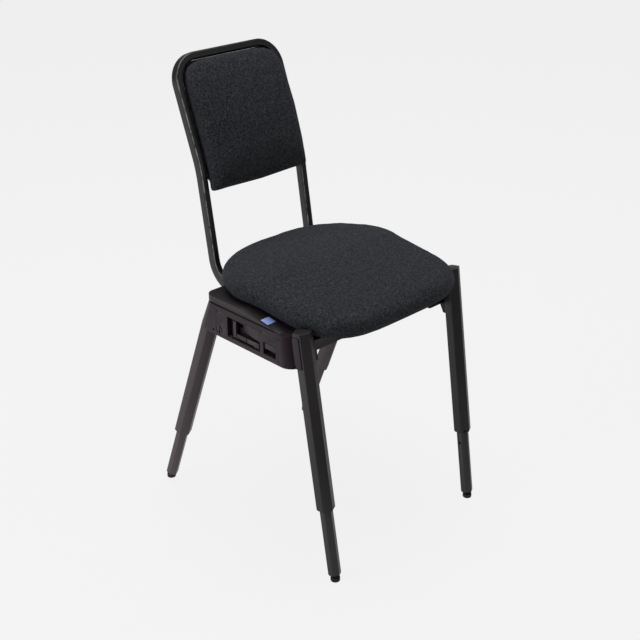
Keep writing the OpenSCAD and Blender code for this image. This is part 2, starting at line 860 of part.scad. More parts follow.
// release lever: hinge barrel, upright and grip bar in the recess, crank behind
module lever() {
    low = recess_z0 + lever_foot;
    high = recess_z1 - lever_head;
    color([0.08, 0.075, 0.08])
    difference() {
        union() {
            translate([hinge_x, hinge_y, low]) cylinder(r = barrel_r, h = high - low, $fn = tube_fn);
            // upright
            translate([hinge_x - upright_in, hinge_y - upright_w / 2, low + collar_h])
            cube([grip_t - upright_in + grip_in, upright_w, high - low - 2 * collar_h]);
            // grip bar with a thumb notch
            difference() {
                translate([hinge_x - grip_in, hinge_y - grip_len, low + collar_h]) cube([grip_t, grip_len, grip_h]);
                translate([hinge_x - grip_in + grip_t - thumb_d, hinge_y - grip_len * thumb_share, low])
                cube([2 * thumb_d, thumb_w, 2 * grip_h]);
            }
            // thickened end of the grip
            translate([hinge_x - grip_in, hinge_y - grip_len, low + collar_h - end_step])
            cube([grip_t + end_proud, end_len, grip_h + 2 * end_step]);
            // crank and its post behind the recess
            translate([hinge_x - crank_len, hinge_y - crank_w / 2, bar_z - crank_drop])
            cube([crank_len, crank_w, crank_t]);
            translate([hinge_x - crank_len, hinge_y, bar_z - crank_drop])
            cylinder(r = crank_post_r, h = crank_drop + bar_w + crank_gap, $fn = hole_fn);
        }
        translate([hinge_x, hinge_y, low - cut])
        cylinder(r = pin_r + pin_gap, h = high - low + 2 * cut, $fn = hole_fn);
    }
}

module lever_left() {
    datum() side(true) lever();
}

module lever_right() {
    datum() side(false) lever();
}

module lever_pins() {
    color([0.55, 0.55, 0.57])
    datum()
    for (s = [0, 1])
        side(s == 1)
        translate([hinge_x, hinge_y, recess_z0 - cheek_wall + pin_shy])
        cylinder(r = pin_r, h = recess_z1 - recess_z0 + 2 * cheek_wall - 2 * pin_shy, $fn = hole_fn);
}

// draw bar: runs between the two legs inside the housing and is moved by the lever's crank
module draw_bar() {
    color([0.5, 0.5, 0.52])
    difference() {
        union() {
            translate([bar_x, -bar_front, bar_z]) cube([bar_w, bar_rear + bar_front, bar_w]);
            translate([bar_x, hinge_y - bar_tab_w / 2, bar_z]) cube([bar_tab_len, bar_tab_w, bar_w]);
            // wedge noses at both ends
            translate([bar_x, -bar_front, bar_z]) rotate([90, 0, 90]) linear_extrude(nose_w)
            polygon([[0, 0], [nose_l, 0], [nose_l, bar_w], [nose_l - nose_slope, nose_h], [0, nose_h]]);
            translate([bar_x, bar_rear - nose_l, bar_z]) rotate([90, 0, 90]) linear_extrude(nose_w)
            polygon([[0, 0], [nose_l, 0], [nose_l, nose_h], [nose_slope, nose_h], [0, bar_w]]);
        }
        translate([bar_x + bar_slot_in, hinge_y - bar_w / 2, bar_z - cut])
        cube([bar_tab_len, bar_w, bar_w + 2 * cut]);
    }
}

module draw_bar_left() {
    datum() side(true) draw_bar();
}

module draw_bar_right() {
    datum() side(false) draw_bar();
}

// row link tongue: parks in the small window and slides out sideways
module link() {
    y0 = window_y0 + link_side;
    w = window_w - 2 * link_side;
    outer = face_x - link_in;
    color([0.09, 0.085, 0.09])
    difference() {
        union() {
            translate([outer - link_len, y0, link_z]) cube([link_len, w, link_t]);
            translate([outer - link_head_l, y0, link_z - link_head_drop])
            cube([link_head_l, w, link_t + link_head_drop]);
        }
        // hook slot from below
        translate([outer - hook_in, y0 + w * hook_shares[0], link_z - link_t])
        cube([hook_l, w * hook_shares[1], link_t + hook_d]);
    }
}

module link_left() {
    datum() side(true) link();
}

module link_right() {
    datum() side(false) link();
}

// turn plug: a grooved disc on a short shaft with a cam behind the wall
module knob() {
    color([0.06, 0.055, 0.06])
    translate([face_x, knob_y, knob_z]) rotate([0, 90, 0])
    difference() {
        union() {
            translate([0, 0, -turn_t - turn_shy]) cylinder(r = knob_r, h = turn_t, $fn = tube_fn);
            translate([0, 0, -shaft_len]) cylinder(r = shaft_r, h = shaft_len - turn_t, $fn = hole_fn);
            translate([-shaft_r, -shaft_r, -shaft_len]) cube([cam_l, 2 * shaft_r, cam_t]);
        }
        cube([2 * knob_r * driver_share, driver_w, 2 * driver_d], center = true);
        difference() {
            translate([0, 0, -groove_d]) cylinder(r = knob_r * groove_shares[0], h = groove_d + cut, $fn = tube_fn);
            translate([0, 0, -groove_d - cut])
            cylinder(r = knob_r * groove_shares[1], h = groove_d + 3 * cut, $fn = tube_fn);
        }
    }
}

module knob_left() {
    datum() side(true) knob();
}

module knob_right() {
    datum() side(false) knob();
}

// ---- frame ----

module rect_tube(w, d, h, wall) {
    difference() {
        translate([-w / 2, -d / 2, 0]) cube([w, d, h]);
        translate([-w / 2 - cut, -d / 2 + wall, wall]) cube([w + 2 * cut, d - 2 * wall, h - 2 * wall]);
    }
}

cross_front_y = leg_y(true, rail_z + cross_front_h / 2);

// front cross tube, butted to the legs
module cross_front() {
    half = leg_x(true, rail_z) - outer_af / 2 - weld_gap;
    color([0.07, 0.065, 0.07])
    datum()
    difference() {
        translate([0, cross_front_y, rail_z]) rect_tube(2 * half, cross_d, cross_front_h, tube_wall);
        mount_holes(0);
    }
}

module cross_rear() {
    half = leg_x(false, rail_z - cross_rear_h) - outer_af / 2 - weld_gap;
    color([0.07, 0.065, 0.07])
    datum()
    translate([0, leg_y(false, rail_z - cross_rear_h / 2), rail_z - cross_rear_h])
    rect_tube(2 * half, cross_d, cross_rear_h, tube_wall);
}

// section of the back frame tube, corners rounded in three flats
function sect(w, d, r) = [for (q = [[1, 1, 0], [-1, 1, 90], [-1, -1, 180], [1, -1, 270]]) for (k = [0:3])
    [q[0] * (w / 2 - r) + r * cos(q[2] + 30 * k), q[1] * (d / 2 - r) + r * sin(q[2] + 30 * k)]];

module tube_sect(inset = 0) {
    difference() {
        polygon(sect(tube_w - 2 * inset, tube_d - 2 * inset, tube_r));
        polygon(sect(tube_w - 2 * tube_wall - 2 * inset, tube_d - 2 * tube_wall - 2 * inset, tube_r - tube_wall));
    }
}

// key points of the tube's centre line, in the side view [y, z]
up_dir = [sin(upper_lean), cos(upper_lean)];
lo_dir = [sin(lower_lean), cos(lower_lean)];
bend_turn = upper_lean - lower_lean;
bend_mid = [bend_back - tube_d / 2 / cos((upper_lean + lower_lean) / 2), bend_z];
bend_t = bend_r * tan(bend_turn / 2);
bend_lo = bend_mid - bend_t * lo_dir;
bend_hi = bend_mid + bend_t * up_dir;
rail_mid = rail_z + tube_d / 2;
foot_c = [bend_mid[0] - (bend_mid[1] - rail_mid) * tan(lower_lean)
    - foot_bend_r * tan((90 - lower_lean) / 2), rail_mid + foot_bend_r];
foot_hi = foot_c + foot_bend_r * [cos(lower_lean), -sin(lower_lean)];
mid_x = back_half - tube_w / 2;
top_r = top_corner_r - tube_w / 2;
top_v = (bend_z + back_rise - bend_hi[1]) / cos(upper_lean) - tube_w / 2;

module seg(from, dir, length) {
    // a straight of tube starting at [y, z], running along dir in the side view
    translate([mid_x, from[0], from[1]])
    rotate([-atan2(dir[0], dir[1]), 0, 0])
    linear_extrude(length) tube_sect(lap_step);
}

module half_frame() {
    front = cross_front_y + cross_d / 2;
    // rail under the seat
    seg([front, rail_mid], [1, 0], foot_c[0] - front + bend_lap);
    // bend from the rail into the upright
    translate([mid_x, foot_c[0], foot_c[1]])
    rotate([0, 90, 0]) arc_part(foot_bend_r, 0, 90 - lower_lean);
    // lower upright
    seg(foot_hi - bend_lap * lo_dir, lo_dir, norm(bend_lo - foot_hi) + 2 * bend_lap);
    // lumbar bend
    translate([mid_x, bend_lo[0] + bend_r * lo_dir[1], bend_lo[1] - bend_r * lo_dir[0]])
    rotate([0, 90, 0]) arc_part(bend_r, 270 - upper_lean, bend_turn);
    // upper upright
    seg(bend_hi - bend_lap * up_dir, up_dir, top_v - top_r + 2 * bend_lap);
    // top corner and half of the top bar
    translate([0, bend_hi[0], bend_hi[1]]) rotate([-upper_lean, 0, 0]) {
        translate([mid_x - top_r, 0, top_v - top_r]) rotate([90, 0, 0])
        rotate_extrude(angle = 90, $fn = bend_fn) translate([top_r, 0, 0]) tube_sect();
        translate([-small, 0, top_v]) rotate([0, 90, 0])
        linear_extrude(mid_x - top_r + bend_lap + small) tube_sect(lap_step);
    }
}

// a bend in the side view; angles run about the chair's +X
module arc_part(r, start, turn) {
    rotate([0, 0, start])
    rotate_extrude(angle = turn, $fn = r > 2 * foot_bend_r ? 3 * bend_fn : bend_fn)
    translate([r, 0, 0]) rotate([0, 0, 90]) tube_sect();
}

// frame of the back pad: origin on the tube's rear face at the pad's lower edge, +Z up the lean, -Y forward
pad_low_v = top_v - tube_w / 2 - pad_gap - pad_h;
module on_back() {
    translate([0, bend_hi[0], bend_hi[1]]) rotate([-upper_lean, 0, 0])
    translate([0, tube_d / 2, pad_low_v]) children();
}

// heights of the panel tabs above the pad's lower edge, never below the tube's upper straight
tab_vs = [for (s = tab_shares) max(s * pad_h, tab_h / 2 - pad_low_v)];

module back_tab(v, s) {
    // a small ear welded inside the tube that takes a panel screw
    translate([s * (back_half - tube_w + tab_sink - tab_len / 2), -tab_in, v])
    cube([tab_len, tab_t, tab_h], center = true);
}

// the panel screws' axes: holes or shanks of the given radius between two depths
module panel_rods(r, from, to) {
    for (s = [-1, 1])
        for (v = tab_vs)
            translate([s * (back_half - tube_w - tab_screw_in), -from, v]) rotate([90, 0, 0])
            cylinder(r = r, h = to - from, $fn = hole_fn);
}

module back_frame() {
    color([0.08, 0.075, 0.08])
    datum()
    difference() {
        union() {
            half_frame();
            mirror([1, 0, 0]) half_frame();
            on_back()
            for (s = [-1, 1])
                for (v = tab_vs)
                    back_tab(v, s);
        }
        mount_holes(1);
        on_back() panel_rods(tab_hole_r, 0, 2 * tab_in);
    }
}

pad_half = back_half - tube_w - pad_gap;

module rounded_rect(hw, y0, y1, r) {
    union() {
        translate([-hw, y0 + r, 0]) square([2 * hw, y1 - y0 - 2 * r]);
        translate([-hw + r, y0, 0]) square([2 * hw - 2 * r, y1 - y0]);
        for (s = [-1, 1])
            for (y = [y0 + r, y1 - r])
                translate([s * (hw - r), y, 0]) circle(r = r, $fn = tube_fn);
    }
}

module back_board() {
    color([0.05, 0.05, 0.055])
    datum() on_back()
    difference() {
        translate([0, -board_in, 0]) rotate([90, 0, 0])
        linear_extrude(board_t)
        rounded_rect(pad_half - board_edge, board_foot, pad_h - board_edge, top_corner_r - tube_w - board_edge);
        panel_rods(tab_hole_r, 0, 2 * pad_back);
    }
}

module back_screws() {
    seat = tab_in - tab_t / 2 - small;
    color([0.3, 0.3, 0.31])
    datum() on_back() {
        panel_rods(tab_head_r, seat - tab_head_h, seat);
        panel_rods(tab_screw_r, seat - small, seat + tab_screw_len);
    }
}

// ---- pads ----

// outline of the seat pad: a rounded square, fuller behind and drawn in towards the front
function sgn(v) = v < 0 ? -1 : 1;
function seat_pt(t) = let (n = sin(t) > 0 ? 2.5 : 4, y = seat_b * sgn(sin(t)) * pow(abs(sin(t)), 2 / n),
    q = max(0, min(1, (taper_start - y) / taper_span)), w = 1 - taper_share * q * q * (3 - 2 * q))
    [seat_a * w * sgn(cos(t)) * pow(abs(cos(t)), 2 / n), y];
function seat_fall(y) = seat_drop * pow(max(0, (fall_from - y) / (seat_b + fall_from)), 0.93);

module seat_form() {
    m = len(seat_ring_shares);
    pts = [for (k = [0:m - 1]) for (i = [0:seat_n - 1])
        let (p = seat_pt(360 * i / seat_n), s = seat_ring_shares[k][0], h = seat_ring_shares[k][1],
            lift = h <= 1 ? h * seat_side : seat_side + (h - 1) * seat_crown / crown_share)
        [p[0] * s, p[1] * s, lift - seat_fall(p[1] * s)]];
    centre_low = [0, 0, seat_ring_shares[0][1] * seat_side];
    centre_high = [0, 0, seat_side + 1.02 * seat_crown];
    faces = concat(
        [for (k = [0:m - 2]) for (i = [0:seat_n - 1])
            [k * seat_n + i, (k + 1) * seat_n + i, (k + 1) * seat_n + (i + 1) % seat_n, k * seat_n + (i + 1) % seat_n]],
        [for (i = [0:seat_n - 1]) [m * seat_n, i, (i + 1) % seat_n]],
        [for (i = [0:seat_n - 1]) [m * seat_n + 1, (m - 1) * seat_n + (i + 1) % seat_n, (m - 1) * seat_n + i]]);
    polyhedron(points = concat(pts, [centre_low, centre_high]), faces = faces, convexity = 6);
}

module seat_cushion() {
    color([0.1, 0.105, 0.11])
    datum()
    difference() {
        translate([0, -seat_cy, seat_mid]) seat_form();
        // the pan's seat, and the room below it
        translate([0, 0, pan_z - foam_room]) linear_extrude(foam_room + pan_t + pan_gap) pan_outline(pan_gap);
        // room for the front leg tops and their sleeves
        for (s = [0, 1])
            side(s == 1) on_leg(true)
            hex_bar(outer_af + sleeve_step + 2 * foam_gap, hex_break, along(true, leg_top) - foam_room,
                along(true, leg_top) + cap_plate + foam_gap);
    }
}

// outline of the pan in the datum's plan, grown by d
module pan_outline(d) {
    translate([0, -seat_cy - pan_back, 0])
    polygon([for (i = [0:35]) let (p = seat_pt(10 * i))
        [p[0] * (pan_shares[0] + d / seat_a), p[1] * (pan_shares[1] + d / seat_b)]]);
}

module seat_pan() {
    color([0.06, 0.06, 0.065])
    datum()
    difference() {
        translate([0, 0, pan_z]) linear_extrude(pan_t) pan_outline(0);
        // hollowed underside with a stiffening spine and rims left standing
        for (s = [-1, 1])
            translate([s * hollow_x, -seat_cy, pan_z - cut]) linear_extrude(pan_t - pan_skin + cut)
            square([hollow_w, hollow_l], center = true);
        mount_rods(bolt_r + bolt_gap, pan_z - cut, pan_z + pan_t - bolt_skin);
    }
}

// the four pan mounts: on the front cross tube and on the frame's rails
mount_x = mid_x;
mount_ys = [cross_front_y, rear_mount_y];

// rods of one radius at the four mounts, between two heights
module mount_rods(r, from, to) {
    for (s = [-1, 1])
        for (y = mount_ys)
            translate([s * mount_x, y, from]) cylinder(r = r, h = to - from, $fn = hole_fn);
}

module pan_mounts() {
    color([0.04, 0.04, 0.045])
    datum()
    for (s = [-1, 1])
        for (k = [0, 1]) {
            low = rail_z + (k == 0 ? cross_front_h : tube_d);
            translate([s * mount_x, mount_ys[k], low])
            difference() {
                cylinder(r = mount_r, h = pan_z - low, $fn = tube_fn);
                translate([0, 0, -cut]) cylinder(r = bolt_r + bolt_gap, h = pan_z - low + 2 * cut, $fn = hole_fn);
            }
        }
}

module mount_holes(k) {
    for (s = [-1, 1])
        translate([s * mount_x, mount_ys[k], rail_z - cut])
        cylinder(r = bolt_r + bolt_gap, h = max(cross_front_h, tube_d) + 2 * cut, $fn = hole_fn);
}

module pan_bolts() {
    color([0.5, 0.5, 0.52])
    datum()
    union() {
        mount_rods(bolt_head_r, rail_z - bolt_head_h, rail_z);
        mount_rods(bolt_r, rail_z - small, pan_z + pan_t - bolt_skin - pan_gap);
    }
}

// back pad: half-width and height of its outline, and its reach from the frame's rear face
function pad_pt(t) = let (n = sin(t) > 0 ? 6 : 24)
    [pad_half * sgn(cos(t)) * pow(abs(cos(t)), 2 / n), pad_h / 2 * sgn(sin(t)) * pow(abs(sin(t)), 2 / n)];
function reach(s) = tube_d + pad_t * lookup(s, pad_reach_shares);

module back_cushion() {
    m = len(pad_ring_shares);
    pts = [for (k = [0:m - 1]) for (i = [0:pad_n - 1])
        let (p = pad_pt(360 * i / pad_n), s = pad_ring_shares[k][0], h = pad_ring_shares[k][1],
            v = pad_h / 2 + p[1] * s,
            dip = p[1] < -dip_share * pad_h / 2 ? pad_dip * (1 - pow(p[0] / pad_half, 2)) : 0,
            depth = pad_back + h * (reach(v / pad_h) - pad_back))
        [p[0] * s, -depth, v - dip * s * s]];
    ends = [[0, -pad_back, pad_h / 2], [0, -pad_back - pad_crown_share * (reach(0.5) - pad_back), pad_h / 2]];
    faces = concat(
        [for (k = [0:m - 2]) for (i = [0:pad_n - 1])
            [k * pad_n + (i + 1) % pad_n, (k + 1) * pad_n + (i + 1) % pad_n, (k + 1) * pad_n + i, k * pad_n + i]],
        [for (i = [0:pad_n - 1]) [m * pad_n, (i + 1) % pad_n, i]],
        [for (i = [0:pad_n - 1]) [m * pad_n + 1, (m - 1) * pad_n + i, (m - 1) * pad_n + (i + 1) % pad_n]]);
    color([0.1, 0.105, 0.11])
    datum() on_back()
    polyhedron(points = concat(pts, ends), faces = faces, convexity = 6);
}

// ---- node modules for the legs ----

module outer_leg_front_left() {
    color([0.07, 0.065, 0.07]) datum() side(true) outer_leg(true);
}

module outer_leg_front_right() {
    color([0.07, 0.065, 0.07]) datum() side(false) outer_leg(true);
}

module outer_leg_rear_left() {
    color([0.07, 0.065, 0.07]) datum() side(true) outer_leg(false);
}

module outer_leg_rear_right() {
    color([0.07, 0.065, 0.07]) datum() side(false) outer_leg(false);
}

module leg_bushes() {
    datum()
    for (s = [0, 1])
        side(s == 1) {
            leg_bush(true);
            leg_bush(false);
        }
}

module leg_top_caps() {
    datum() leg_caps();
}

module inner_leg_front_left() {
    color([0.09, 0.085, 0.09]) datum() side(true) inner_leg(true);
}

module inner_leg_front_right() {
    color([0.09, 0.085, 0.09]) datum() side(false) inner_leg(true);
}

module inner_leg_rear_left() {
    color([0.09, 0.085, 0.09]) datum() side(true) inner_leg(false);
}

module inner_leg_rear_right() {
    color([0.09, 0.085, 0.09]) datum() side(false) inner_leg(false);
}

module plug_front_left() {
    color([0.2, 0.2, 0.2]) datum() side(true) leg_plug(true);
}

module plug_front_right() {
    color([0.2, 0.2, 0.2]) datum() side(false) leg_plug(true);
}

module plug_rear_left() {
    color([0.2, 0.2, 0.2]) datum() side(true) leg_plug(false);
}

module plug_rear_right() {
    color([0.2, 0.2, 0.2]) datum() side(false) leg_plug(false);
}

module glide_front_left() {
    color([0.03, 0.03, 0.03]) datum() side(true) glide(true);
}

module glide_front_right() {
    color([0.03, 0.03, 0.03]) datum() side(false) glide(true);
}

module glide_rear_left() {
    color([0.03, 0.03, 0.03]) datum() side(true) glide(false);
}

module glide_rear_right() {
    color([0.03, 0.03, 0.03]) datum() side(false) glide(false);
}

seat_cushion();
seat_pan();
pan_mounts();
pan_bolts();
cross_front();
cross_rear();
back_frame();
back_cushion();
back_board();
back_screws();
cheek_left();
cheek_right();
deck_left();
deck_right();
marker_left();
marker_right();
cover_left();
cover_right();
cheek_screws();
lever_left();
lever_right();
lever_pins();
draw_bar_left();
draw_bar_right();
link_left();
link_right();
knob_left();
knob_right();
outer_leg_front_left();
outer_leg_front_right();
outer_leg_rear_left();
outer_leg_rear_right();
leg_bushes();
leg_top_caps();
inner_leg_front_left();
inner_leg_front_right();
inner_leg_rear_left();
inner_leg_rear_right();
plug_front_left();
plug_front_right();
plug_rear_left();
plug_rear_right();
glide_front_left();
glide_front_right();
glide_rear_left();
glide_rear_right();
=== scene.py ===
"""Choir chair: hexagonal telescoping legs, two release housings, a bent-tube back frame and two pads.

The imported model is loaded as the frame, in metres. A piece that stands for a node takes that node's
own mesh and place.
"""

import json
import math

import bmesh
import bpy
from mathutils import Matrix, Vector

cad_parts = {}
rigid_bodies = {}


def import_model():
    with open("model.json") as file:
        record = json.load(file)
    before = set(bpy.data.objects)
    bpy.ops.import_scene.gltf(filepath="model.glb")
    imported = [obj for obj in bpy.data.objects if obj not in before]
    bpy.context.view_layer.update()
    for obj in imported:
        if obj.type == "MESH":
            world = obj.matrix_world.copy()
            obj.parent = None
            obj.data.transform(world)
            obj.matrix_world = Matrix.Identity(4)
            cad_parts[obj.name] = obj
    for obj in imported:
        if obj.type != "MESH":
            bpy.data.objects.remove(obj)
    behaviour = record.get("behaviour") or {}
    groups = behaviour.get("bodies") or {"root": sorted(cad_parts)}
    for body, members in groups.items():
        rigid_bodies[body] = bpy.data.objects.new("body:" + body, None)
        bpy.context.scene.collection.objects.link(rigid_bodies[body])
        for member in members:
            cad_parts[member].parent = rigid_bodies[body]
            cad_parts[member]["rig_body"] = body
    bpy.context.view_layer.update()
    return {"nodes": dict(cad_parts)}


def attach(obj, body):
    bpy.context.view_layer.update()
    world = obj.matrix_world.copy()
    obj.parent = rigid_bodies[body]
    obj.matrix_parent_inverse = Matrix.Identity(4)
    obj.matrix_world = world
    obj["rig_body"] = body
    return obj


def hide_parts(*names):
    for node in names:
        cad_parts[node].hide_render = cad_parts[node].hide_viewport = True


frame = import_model()


# Outer legs
# Four hexagonal steel tubes, roll-formed, with tight rounded corners and a satin black
# powder coat that shows a faint orange peel. The front pair is capped, the rear pair runs
# up into the housings.

def new_group(name, outputs, inputs):
    """An empty shader node group with float or colour sockets, as {name: default}."""
    tree = bpy.data.node_groups.new(name, "ShaderNodeTree")
    for label, default in inputs.items():
        kind = "NodeSocketColor" if isinstance(default, tuple) else "NodeSocketFloat"
        socket = tree.interface.new_socket(label, in_out="INPUT", socket_type=kind)
        socket.default_value = default
    for label, kind in outputs.items():
        tree.interface.new_socket(label, in_out="OUTPUT", socket_type=kind)
    return tree, tree.nodes.new("NodeGroupInput"), tree.nodes.new("NodeGroupOutput")


def node(tree, kind, links=(), **settings):
    """One shader node with its settings, and its inputs linked as (input, source socket)."""
    made = tree.nodes.new(kind)
    for key, value in settings.items():
        if hasattr(made, key):
            setattr(made, key, value)
        else:
            made.inputs[key.replace("_", " ")].default_value = value
    for target, source in links:
        tree.links.new(source, made.inputs[target])
    return made


def math_node(tree, operation, first, second):
    """A Math node on two sockets or numbers."""
    made = tree.nodes.new("ShaderNodeMath")
    made.operation = operation
    for slot, value in enumerate((first, second)):
        if isinstance(value, (int, float)):
            made.inputs[slot].default_value = value
        else:
            tree.links.new(value, made.inputs[slot])
    return made.outputs[0]


def mapped(tree, value, low, high, at_low=0.0, at_high=1.0):
    """The value stretched so that low gives at_low and high gives at_high, held beyond them."""
    stretch = node(tree, "ShaderNodeMapRange", [("Value", value)],
                   From_Min=low, From_Max=high, To_Min=at_low, To_Max=at_high)
    return stretch.outputs[0]


def mixed(tree, share, first, second):
    """The first colour at share 0, the second at 1. A Mix node's colours go in at 6 and 7, out at 2."""
    mix = node(tree, "ShaderNodeMix", [(0, share), (6, first), (7, second)], data_type="RGBA")
    return mix.outputs[2]


def make_finish_group():
    """Coat texture: a broad tone drift, a fine peel for bump and roughness, light dust on tops, and a
    painted highlight on corners that face forward and outward.
    """
    tree, inside, out = new_group(
        "moulded_finish",
        {"Color": "NodeSocketColor", "Roughness": "NodeSocketFloat", "Height": "NodeSocketFloat"},
        {"Base": (0.03, 0.03, 0.03, 1.0), "Lighter": (0.05, 0.05, 0.05, 1.0),
         "Painted Highlight Colour": (0.36, 0.35, 0.36, 1.0), "Grain Size": 900.0, "Roughness": 0.4, "Dust": 0.1, "Painted Highlight Share": 0.0})
    place = node(tree, "ShaderNodeTexCoord").outputs["Object"]
    drift = node(tree, "ShaderNodeTexNoise", [("Vector", place)], Scale=9.0, Detail=3.0)
    peel = node(tree, "ShaderNodeTexNoise", [("Vector", place), ("Scale", inside.outputs["Grain Size"])],
                Detail=2.0)
    fine_noise = node(tree, "ShaderNodeTexNoise", [("Vector", place)], Scale=55.0, Detail=6.0, Roughness=0.7)
    tone = mapped(tree, drift.outputs["Fac"], 0.35, 0.7, at_high=0.55)
    speck = mapped(tree, fine_noise.outputs["Fac"], 0.56, 0.8)
    facing = node(tree, "ShaderNodeNewGeometry").outputs["Normal"]
    up = node(tree, "ShaderNodeSeparateXYZ", [("Vector", facing)])
    facing_up = math_node(tree, "MAXIMUM", up.outputs["Z"], 0.0)
    dust = math_node(tree, "MULTIPLY", facing_up, speck)
    dust = math_node(tree, "MULTIPLY", dust, inside.outputs["Dust"])
    amount = math_node(tree, "ADD", tone, dust)
    coat = mixed(tree, amount, inside.outputs["Base"], inside.outputs["Lighter"])
    # painted highlight: the coat is painted bright where a corner faces forward and outward at once, broken
    # up by fine noise, in place of the light's highlight along that corner
    corner_forward, corner_outward, scuff_depth = 0.70, 0.68, 0.22
    forward = math_node(tree, "ABSOLUTE", math_node(tree, "ADD", up.outputs["Y"], corner_forward), 0.0)
    outward = math_node(tree, "ABSOLUTE", up.outputs["X"], 0.0)
    outward = math_node(tree, "ABSOLUTE", math_node(tree, "SUBTRACT", outward, corner_outward), 0.0)
    corner = mapped(tree, math_node(tree, "MAXIMUM", forward, outward), 0.10, 0.26, at_low=1.0, at_high=0.0)
    highlight_breakup = mapped(tree, fine_noise.outputs["Fac"], 0.40, 0.58, at_low=0.15)
    painted_highlight = math_node(tree, "MULTIPLY", corner, highlight_breakup)
    painted_highlight = math_node(tree, "MULTIPLY", painted_highlight, inside.outputs["Painted Highlight Share"])
    tree.links.new(mixed(tree, painted_highlight, coat, inside.outputs["Painted Highlight Colour"]), out.inputs["Color"])
    worn = math_node(tree, "SUBTRACT", fine_noise.outputs["Fac"], 0.5)
    worn = math_node(tree, "MULTIPLY", worn, scuff_depth)
    tree.links.new(math_node(tree, "ADD", inside.outputs["Roughness"], worn), out.inputs["Roughness"])
    tree.links.new(peel.outputs["Fac"], out.inputs["Height"])
    return tree


FINISH = make_finish_group()


def finished(name, base, lighter, roughness, grain=900.0, dust=0.1, bump=0.06, metallic=0.0, specular=0.5,
             painted_highlight=0.0):
    """A material with the coat texture above, in its own colours, grain, gloss, dust and painted corner
    highlight.
    """
    material = bpy.data.materials.new(name)
    material.use_nodes = True
    tree = material.node_tree
    shader = tree.nodes["Principled BSDF"]
    shader.inputs["Metallic"].default_value = metallic
    shader.inputs["Specular IOR Level"].default_value = specular
    group = tree.nodes.new("ShaderNodeGroup")
    group.node_tree = FINISH
    group.inputs["Base"].default_value = (*base, 1.0)
    group.inputs["Lighter"].default_value = (*lighter, 1.0)
    group.inputs["Grain Size"].default_value = grain
    group.inputs["Roughness"].default_value = roughness
    group.inputs["Dust"].default_value = dust
    group.inputs["Painted Highlight Share"].default_value = painted_highlight
    relief = node(tree, "ShaderNodeBump", [("Height", group.outputs["Height"])],
                  Strength=bump, Distance=0.0004)
    tree.links.new(group.outputs["Color"], shader.inputs["Base Color"])
    tree.links.new(group.outputs["Roughness"], shader.inputs["Roughness"])
    tree.links.new(relief.outputs["Normal"], shader.inputs["Normal"])
    return material


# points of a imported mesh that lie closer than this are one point
WELD = 0.00002


def softened(cad_name, piece_name, material, edge, segments=3, crease=30.0):
    """The CAD node again with its flat faces joined and its edges rounded, as a piece of its own."""
    cad = frame["nodes"][cad_name]
    mesh = cad.data.copy()
    mesh.name = piece_name
    shape = bmesh.new()
    shape.from_mesh(mesh)
    bmesh.ops.remove_doubles(shape, verts=shape.verts, dist=WELD)
    bmesh.ops.dissolve_limit(shape, angle_limit=math.radians(1.0), verts=shape.verts, edges=shape.edges)
    for face in shape.faces:
        face.smooth = True
    shape.to_mesh(mesh)
    shape.free()
    piece = bpy.data.objects.new(piece_name, mesh)
    bpy.context.scene.collection.objects.link(piece)
    rounding = piece.modifiers.new("rounded_edges", "BEVEL")
    rounding.width = edge
    rounding.segments = segments
    rounding.limit_method = "ANGLE"
    rounding.angle_limit = math.radians(crease)
    rounding.use_clamp_overlap = True
    rounding.harden_normals = True
    mesh.materials.clear()
    mesh.materials.append(material)
    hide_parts(cad_name)
    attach(piece, cad["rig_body"])
    return piece


powder_coat = finished("satin_powder_coat", (0.0215, 0.0175, 0.0205), (0.034, 0.030, 0.033),
                       roughness=0.36, grain=1400.0, dust=0.25, bump=0.12)
# painted light: the rear legs carry the same powder coat painted lighter and pinker, for the light that
# falls on them
rear_coat_painted_light = finished("powder_coat_painted_rear_light", (0.046, 0.0295, 0.0375), (0.062, 0.042, 0.052),
                     roughness=0.38, grain=1400.0, dust=0.3, bump=0.12)
LEGS = ("front_left", "front_right", "rear_left", "rear_right")
for place in LEGS:
    coat = powder_coat if place.startswith("front") else rear_coat_painted_light
    softened(f"outer_leg_{place}", f"leg_tube_{place}", coat,
             edge=0.0007, segments=2, crease=12.0)
softened("leg_top_caps", "leg_cap_plates", powder_coat, edge=0.0005)


# Collar bushes
# Moulded acetal collars pressed into the lower end of each outer leg; a thin dark lip of
# each shows below the tube and wipes the inner leg.

black_acetal = finished("black_acetal", (0.008, 0.008, 0.0085), (0.015, 0.015, 0.016),
                        roughness=0.5, grain=1800.0)
softened("leg_bushes", "leg_collars", black_acetal, edge=0.0003, segments=2)


# Inner legs
# The smaller hexagonal tubes that set the seat height. They slide in the collars, so their
# coat is a little smoother and more polished than the outer tubes'.

sliding_coat = finished("polished_sliding_coat", (0.033, 0.0290, 0.0325), (0.048, 0.043, 0.047),
                        roughness=0.32, grain=1500.0, dust=0.1, bump=0.06)
# painted light: the rear inner legs carry the same sliding coat painted lighter and pinker, for the light
# that falls on them
sliding_coat_painted_rear_light = finished("sliding_coat_painted_rear_light", (0.068, 0.0410, 0.050), (0.084, 0.056, 0.066),
                             roughness=0.34, grain=1500.0, dust=0.1, bump=0.06)
for place in LEGS:
    coat = sliding_coat if place.startswith("front") else sliding_coat_painted_rear_light
    softened(f"inner_leg_{place}", f"drawn_tube_{place}", coat,
             edge=0.0006, segments=2, crease=12.0)
    softened(f"plug_{place}", f"foot_plug_{place}", black_acetal,
             edge=0.0006, segments=3)


# Glides
# Swivel feet in dull black rubber, each clipped over the ball stud of its leg's foot plug.
# Grey dust lies along the top of their rims.

